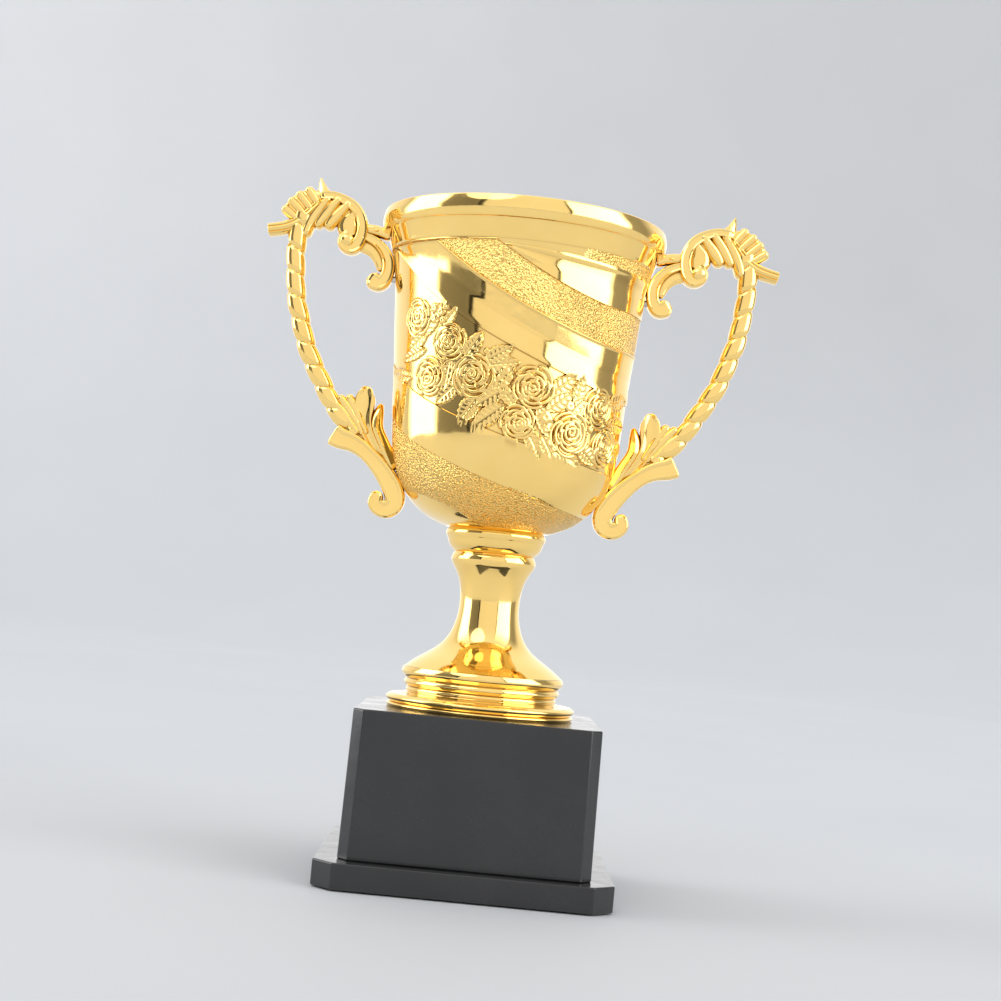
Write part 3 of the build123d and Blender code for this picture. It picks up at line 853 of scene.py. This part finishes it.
def clipped_square(half, clip, rounding, steps=3):
    """A square outline with clipped corners. Each of its eight bends is a short curve."""
    outline = []
    inner = half - clip
    bends = [(half, -inner), (half, inner), (inner, half), (-inner, half)]
    bends += [(-half, inner), (-half, -inner), (-inner, -half), (inner, -half)]
    for i, bend in enumerate(bends):
        here = Vector(bend)
        back = (Vector(bends[i - 1]) - here).normalized()
        ahead = (Vector(bends[(i + 1) % len(bends)]) - here).normalized()
        for k in range(steps + 1):
            share = k / steps
            start = here + back * rounding
            stop = here + ahead * rounding
            point = start * (1 - share) ** 2 + here * 2 * share * (1 - share) + stop * share**2
            outline.append((point.x, point.y))
    return np.array(outline)


def block_mesh(name, rings):
    """A closed block through rings of (outline, height). The last ring joins the first."""
    points = []
    for outline, z in rings:
        points.append(np.column_stack([outline, np.full(len(outline), z)]))
    around = len(rings[0][0])
    return new_mesh(name, np.vstack(points), ring_faces(len(rings), around, closed=True))


def circle_like(outline, radius):
    """A circle with one point for each point of the outline, at the same angle."""
    return outline / np.linalg.norm(outline, axis=1)[:, None] * radius


def rounded_edge(size, steps=4):
    """Points round an edge from its side up to its top, as (inset, rise)."""
    turns = [math.pi / 2 * k / steps for k in range(1, steps + 1)]
    return [(size * (1 - math.cos(a)), size * math.sin(a)) for a in turns]


def flat_shaded(piece):
    """Keeps broad faces flat and rounds only their narrow edges."""
    weighted = piece.modifiers.new("flat_faces", "WEIGHTED_NORMAL")
    weighted.keep_sharp = True
    weighted.weight = 100


def pedestal_mesh():
    """A hollow box that narrows a little upwards, open below, with a hole for the rod in its roof."""
    low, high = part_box("pedestal")
    half = high.x / MM
    bottom = low.z / MM
    top = high.z / MM
    lean = math.tan(math.radians(SIDE_LEAN))
    corner = 5.4
    wall = 2.5
    edge = 0.9
    gap = 0.5

    def ring(z, inset=0.0):
        return clipped_square(half - lean * (z - bottom) - inset, corner - inset * 0.4, 0.7)

    rings = [(ring(bottom, gap), bottom), (ring(bottom), bottom + gap), (ring(top - edge), top - edge)]
    rings += [(ring(top, inset), top - edge + rise) for inset, rise in rounded_edge(edge)]
    hole = circle_like(ring(top), ROD_HOLE)
    roof = top - 3.0
    rings += [(hole, top), (hole, roof), (ring(roof, wall), roof), (ring(bottom, wall), bottom)]
    return block_mesh("pedestal", rings)


def plinth_mesh():
    """A hollow slab, open below, with an opening in its top under the pedestal."""
    low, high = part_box("plinth")
    half = high.x / MM
    bottom = low.z / MM
    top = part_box("pedestal")[0].z / MM
    corner = 10.5
    edge = 0.8
    wall = 2.5

    def ring(inset=0.0):
        return clipped_square(half - inset, corner - inset * 0.4, 0.8)

    rings = [(ring(0.5), bottom), (ring(), bottom + 0.5), (ring(), top - edge)]
    rings += [(ring(inset), top - edge + rise) for inset, rise in rounded_edge(edge)]
    opening = clipped_square(56.0, 5.0, 0.7)
    rings += [(opening, top), (opening, top - 2.8), (ring(wall), top - 2.8), (ring(wall), bottom)]
    return block_mesh("plinth", rings)


# ------------ materials

# Colours are linear (red, green, blue, 1). A scale is the number of features in a metre.
GOLD = (1.0, 0.70, 0.24, 1.0)
GOLD_TARNISHED = (0.94, 0.60, 0.16, 1.0)
# Painted shade for the gold's creases and hollows.
GOLD_CREASE_SHADE = (0.24, 0.11, 0.02, 1.0)
GOLD_SANDED = (0.97, 0.60, 0.15, 1.0)
# Painted shade between the sand's grains.
GOLD_GRAIN_SHADE = (0.50, 0.28, 0.06, 1.0)
# Painted shade for the hollows of the cup's relief.
GOLD_GROOVE_SHADE = (0.26, 0.12, 0.02, 1.0)
BLACK = (0.012, 0.012, 0.0125, 1.0)
BLACK_CLOUD = (0.018, 0.018, 0.0185, 1.0)
DUST = (0.16, 0.155, 0.15, 1.0)
SAND_SCALE = 1100.0


class Nodes:
    """A node tree, with short calls for the nodes used here."""

    def __init__(self, tree):
        self.tree = tree

    def node(self, kind, **inputs):
        made = self.tree.nodes.new("ShaderNode" + kind)
        for key, value in inputs.items():
            self.feed(made.inputs[key.replace("_", " ")], value)
        return made

    def feed(self, socket, value):
        if isinstance(value, bpy.types.NodeSocket):
            self.tree.links.new(value, socket)
        else:
            socket.default_value = value

    def remap(self, value, low, high, to_low=0.0, to_high=1.0, curve="LINEAR"):
        limits = {"From_Min": low, "From_Max": high, "To_Min": to_low, "To_Max": to_high}
        made = self.node("MapRange", Value=value, **limits)
        made.interpolation_type = curve
        return made.outputs["Result"]

    def math(self, operation, a, b):
        made = self.node("Math")
        made.operation = operation
        self.feed(made.inputs[0], a)
        self.feed(made.inputs[1], b)
        return made.outputs[0]

    def mix(self, share, a, b):
        """A colour between a and b."""
        made = self.node("Mix")
        made.data_type = "RGBA"
        self.feed(made.inputs["Factor"], share)
        self.feed(made.inputs[6], a)
        self.feed(made.inputs[7], b)
        return made.outputs[2]


class Look(Nodes):
    """A material and its nodes. Its patterns are placed by the object's own coordinates."""

    def __init__(self, name):
        self.material = bpy.data.materials.new(name)
        self.material.use_nodes = True
        super().__init__(self.material.node_tree)
        self.surface = self.tree.nodes["Principled BSDF"]
        self.place = self.node("TexCoord").outputs["Object"]

    def noise(self, scale, detail=4.0, roughness=0.5):
        grain = {"Scale": scale, "Detail": detail, "Roughness": roughness}
        return self.node("TexNoise", Vector=self.place, **grain).outputs["Fac"]

    def cells(self, scale):
        """The distance to the nearest of many scattered points, as a share of their spacing."""
        return self.node("TexVoronoi", Vector=self.place, Scale=scale).outputs["Distance"]

    def specks(self, scale, size):
        """Small dots, from 1 in the middle of a speck to 0 outside it."""
        return self.remap(self.cells(scale), 0.0, size, 1.0, 0.0)

    def attribute(self, name):
        made = self.node("Attribute")
        made.attribute_name = name
        return made.outputs["Fac"]

    def bump(self, height, distance, strength=1.0, normal=None):
        made = self.node("Bump", Height=height, Distance=distance, Strength=strength)
        if normal is not None:
            self.feed(made.inputs["Normal"], normal)
        return made.outputs["Normal"]

    def set(self, **inputs):
        for key, value in inputs.items():
            self.feed(self.surface.inputs[key.replace("_", " ")], value)
        return self.material


def paint_crease_shade(look, colour):
    """Painted shade: browner, darker gold where the surface lies close to itself, in creases and hollows."""
    shade = look.node("AmbientOcclusion", Distance=0.0022)
    shade.samples = 8
    shade.only_local = True
    crease_shade = look.remap(shade.outputs["AO"], 0.25, 0.8, 0.8, 0.0)
    return look.mix(crease_shade, colour, GOLD_CREASE_SHADE)


def sand_bands(look, colour, rough, normal):
    """Grain, painted shade between the grains and a warmer tone on the cup's sanded bands, and painted shade
    in the grooves of its relief.
    """
    sand = look.attribute("sand")
    cells = look.cells(SAND_SCALE)
    fine = look.math("MULTIPLY", look.noise(2300.0, 2.0), 0.12)
    normal = look.bump(look.math("SUBTRACT", fine, cells), 0.0006, sand, normal)
    rough = look.math("ADD", rough, look.math("MULTIPLY", sand, 0.09))
    warm = look.remap(look.noise(700.0, 2.0), 0.3, 0.7, 0.0, 0.5)
    colour = look.mix(look.math("MULTIPLY", sand, warm), colour, GOLD_SANDED)
    # Painted shade in the low places between the sand's grains.
    grain_shade = look.remap(cells, 0.4, 0.8, 0.0, 0.5)
    colour = look.mix(look.math("MULTIPLY", sand, grain_shade), colour, GOLD_GRAIN_SHADE)
    # Painted shade in the hollows of the relief, from the groove share.
    groove_shade = look.math("MULTIPLY", look.attribute("groove"), 0.62)
    colour = look.mix(groove_shade, colour, GOLD_GROOVE_SHADE)
    return colour, rough, normal


def gold_material(name, sandy=False):
    """Bright plated gold: mirror smooth with faint waviness, pinholes, smears, a little tarnish and painted
    shade in its creases.
    """
    look = Look(name)
    tarnish = look.remap(look.noise(38.0, 5.0, 0.6), 0.42, 0.72, 0.0, 0.35)
    colour = paint_crease_shade(look, look.mix(tarnish, GOLD, GOLD_TARNISHED))
    rough = look.remap(look.noise(85.0, 6.0, 0.65), 0.35, 0.75, 0.045, 0.13)
    wave = look.bump(look.noise(55.0, 2.0), 0.0006, 0.25)
    normal = look.bump(look.specks(900.0, 0.16), 0.00002, 0.35, wave)
    if sandy:
        colour, rough, normal = sand_bands(look, colour, rough, normal)
    return look.set(Base_Color=colour, Metallic=1.0, Roughness=rough, Normal=normal)


def black_plastic(name, seed):
    """Glossy black moulded plastic with faint flow marks, dust specks and fine scuffs."""
    look = Look(name)
    cloud = look.remap(look.noise(22.0 + seed, 5.0, 0.6), 0.35, 0.7)
    small = look.math("MULTIPLY", look.specks(420.0, 0.055), 0.5)
    dust = look.math("MAXIMUM", small, look.specks(95.0, 0.03))
    colour = look.mix(dust, look.mix(cloud, BLACK, BLACK_CLOUD), DUST)
    rough = look.remap(look.noise(60.0, 8.0, 0.7), 0.35, 0.75, 0.12, 0.26)
    flow = look.bump(look.noise(14.0, 3.0), 0.0012, 0.12)
    normal = look.bump(look.noise(520.0, 3.0), 0.00004, 0.5, flow)
    look.set(Coat_Weight=0.12, Coat_Roughness=0.06)
    return look.set(Base_Color=colour, Roughness=rough, Normal=normal, IOR=1.5)


def zinc_steel():
    """Bright zinc plating with a yellowish cast and a fine grain."""
    look = Look("zinc_steel")
    patch = look.remap(look.noise(160.0, 4.0), 0.35, 0.7)
    colour = look.mix(patch, (0.62, 0.62, 0.60, 1.0), (0.52, 0.50, 0.44, 1.0))
    rough = look.remap(look.noise(420.0, 5.0), 0.3, 0.7, 0.22, 0.42)
    normal = look.bump(look.noise(1500.0, 2.0), 0.00003, 0.6)
    return look.set(Base_Color=colour, Metallic=1.0, Roughness=rough, Normal=normal)


def pad_rubber():
    """Dull black rubber with a fine grain."""
    look = Look("pad_rubber")
    colour = look.mix(look.noise(300.0, 5.0), (0.018, 0.018, 0.018, 1.0), (0.045, 0.044, 0.042, 1.0))
    normal = look.bump(look.noise(1800.0, 4.0), 0.00012, 0.6)
    return look.set(Base_Color=colour, Roughness=0.78, Normal=normal)


def cast_cement():
    """Grey cement with pores and lighter lime blooms."""
    look = Look("cast_cement")
    pores = look.specks(240.0, 0.22)
    bloom = look.remap(look.noise(60.0, 6.0, 0.65), 0.35, 0.7)
    base = look.mix(bloom, (0.22, 0.215, 0.205, 1.0), (0.42, 0.41, 0.39, 1.0))
    colour = look.mix(pores, base, (0.08, 0.078, 0.075, 1.0))
    rough_skin = look.math("SUBTRACT", look.noise(500.0, 6.0, 0.6), pores)
    return look.set(Base_Color=colour, Roughness=0.9, Normal=look.bump(rough_skin, 0.0005, 0.7))


def fibreboard():
    """Dark fibreboard with short matted fibres."""
    look = Look("fibreboard")
    fibres = look.node("TexWave", Vector=look.place, Scale=260.0, Distortion=14.0, Detail=4.0)
    colour = look.mix(fibres.outputs["Fac"], (0.05, 0.04, 0.032, 1.0), (0.12, 0.095, 0.07, 1.0))
    normal = look.bump(fibres.outputs["Fac"], 0.00015, 0.6)
    return look.set(Base_Color=colour, Roughness=0.85, Normal=normal)


def paint_node(node, material):
    """Gives a plain CAD node its material."""
    mesh = frame["nodes"][node].data
    mesh.materials.clear()
    mesh.materials.append(material)


# ------------ stage, light and camera


def floor_material():
    """Pale matt grey, a little darker to the camera than to the trophy's reflections."""
    look = Look("studio_floor")
    colour = look.mix(look.noise(3.0, 3.0), (0.54, 0.55, 0.57, 1.0), (0.58, 0.59, 0.61, 1.0))
    seen = look.node("LightPath").outputs["Is Camera Ray"]
    colour = look.mix(look.math("MULTIPLY", seen, 0.2), colour, (0, 0, 0, 1))
    return look.set(Base_Color=colour, Roughness=0.75)


def make_floor():
    """A pale round floor, and a sweep round it that closes the view and takes no part in the lighting."""
    radius = 3.0
    bend = 1.5
    rise = 4.5
    around = 96
    arc = np.linspace(0, math.pi / 2, 16)
    sheets = {
        "floor": [(0.001, 0.0), (radius, 0.0)],
        "backdrop": [(radius + bend * math.sin(a), bend * (1 - math.cos(a))) for a in arc],
    }
    sheets["backdrop"].append((radius + bend, rise))
    angle = np.linspace(0, TAU, around, endpoint=False)
    pale = floor_material()
    for name, outline in sheets.items():
        rings = [np.column_stack([r * np.cos(angle), r * np.sin(angle), 0 * angle + z]) for r, z in outline]
        sheet = new_object(name, new_mesh(name, np.vstack(rings) / MM, ring_faces(len(rings), around)))
        sheet.data.materials.append(pale)
        if name == "backdrop":
            sheet.visible_diffuse = False
            sheet.visible_glossy = False
            sheet.visible_shadow = False


# Brightness of the studio round the trophy, as (angle from the camera's side towards +X, brightness).
STUDIO_WALLS = [
    (-180, 1.35), (-128, 1.0), (-114, 0.7), (-106, 4.2), (-76, 4.2), (-70, 0.30), (-44, 0.22),
    (-38.6, 0.26), (-38.0, 0.02), (-35.0, 0.02), (-34.2, 0.95), (0, 1.0), (32.5, 1.0), (33.2, 0.1),
    (35.5, 0.1), (36.6, 3.4), (86, 4.2), (93, 0.40), (112, 0.35), (130, 1.0), (180, 1.35),
]
BRIGHTEST = 4.5

# The roof as a share of the brightest wall, and how far up a direction points where it starts and is full.
ROOF = (0.24, 0.25, 0.26, 1.0)
ROOF_START = 0.55
ROOF_FULL = 0.9


def make_world():
    """A plain studio: bright tall panels at both sides, quieter walls between them and an even roof."""
    world = bpy.data.worlds.new("studio")
    bpy.context.scene.world = world
    world.use_nodes = True
    studio = Nodes(world.node_tree)
    direction = studio.node("TexCoord").outputs["Generated"]
    split = studio.node("SeparateXYZ", Vector=direction)
    towards_camera = studio.math("MULTIPLY", split.outputs["Y"], -1.0)
    angle = studio.math("ARCTAN2", split.outputs["X"], towards_camera)
    walls = studio.node("ValToRGB", Fac=studio.remap(angle, -math.pi, math.pi))
    stops = walls.color_ramp.elements
    stops.remove(stops[1])
    for i, (degrees, brightness) in enumerate(STUDIO_WALLS):
        place = (degrees + 180) / 360
        stop = stops.new(place) if i else stops[0]
        stop.position = place
        level = brightness / BRIGHTEST
        stop.color = (level, level, level, 1.0)
    overhead = studio.remap(split.outputs["Z"], ROOF_START, ROOF_FULL, curve="SMOOTHSTEP")
    background = studio.tree.nodes["Background"]
    studio.feed(background.inputs["Color"], studio.mix(overhead, walls.outputs["Color"], ROOF))
    studio.feed(background.inputs["Strength"], BRIGHTEST)


def make_light():
    """One large soft lamp above and to the left of the camera."""
    light = bpy.data.lights.new("key", "AREA")
    light.shape = "DISK"
    light.size = 1.2
    light.energy = 6.0
    key = bpy.data.objects.new("key", light)
    key.location = (-0.7, -1.0, 1.7)
    aim = Vector((0, 0, 0.15)) - key.location
    key.rotation_mode = "QUATERNION"
    key.rotation_quaternion = aim.to_track_quat("-Z", "Y")
    bpy.context.scene.collection.objects.link(key)


CAMERA_DISTANCE = 0.940
CAMERA_HEIGHT = 0.144
CAMERA_ROLL = -5.5


def make_camera():
    """A level camera in front of the cup, tipped a little on its own axis."""
    data = bpy.data.cameras.new("camera")
    data.sensor_width = 36.0
    data.lens = 65.35
    data.shift_x = 0.011
    data.shift_y = 0.103
    camera = bpy.data.objects.new("camera", data)
    camera.location = (0.0, -CAMERA_DISTANCE, CAMERA_HEIGHT)
    camera.rotation_mode = "XYZ"
    camera.rotation_euler = (math.radians(90), math.radians(CAMERA_ROLL), 0.0)
    bpy.context.scene.collection.objects.link(camera)
    bpy.context.scene.camera = camera


# ------------ build

STEEL_NODES = ["handle_screws", "handle_washers", "plinth_screws", "tie_rod", "rod_top_washer"]
STEEL_NODES += ["rod_dome_nut", "rod_bottom_washer", "rod_bottom_nut"]


def build_trophy():
    gold = gold_material("gold_plate")
    add_piece("cup", make_cup_mesh(), gold_material("gold_plate_cup", sandy=True), "gold_plate", "bowl")
    for side, name in ((1, "handle_right"), (-1, "handle_left")):
        add_piece(name + "_cast", make_handle_mesh(name, side), gold, "gold_plate", name)
    turnings = {"collar": collar_mesh, "stem": stem_mesh, "foot": foot_mesh, "foot_ring": foot_ring_mesh}
    for node, make_mesh in turnings.items():
        add_piece(node + "_turned", make_mesh(), gold, "gold_plate", node)
    box_black = black_plastic("black_pedestal", 0)
    plate_black = black_plastic("black_plinth", 5)
    flat_shaded(add_piece("pedestal_box", pedestal_mesh(), box_black, "black_plastic", "pedestal"))
    flat_shaded(add_piece("plinth_plate", plinth_mesh(), plate_black, "black_plastic", "plinth"))
    steel = zinc_steel()
    for node in STEEL_NODES:
        paint_node(node, steel)
    paint_node("ballast_block", cast_cement())
    paint_node("base_cover", fibreboard())
    paint_node("foot_pads", pad_rubber())


build_trophy()
make_floor()
make_world()
make_light()
make_camera()
bpy.context.scene.view_settings.view_transform = "Standard"
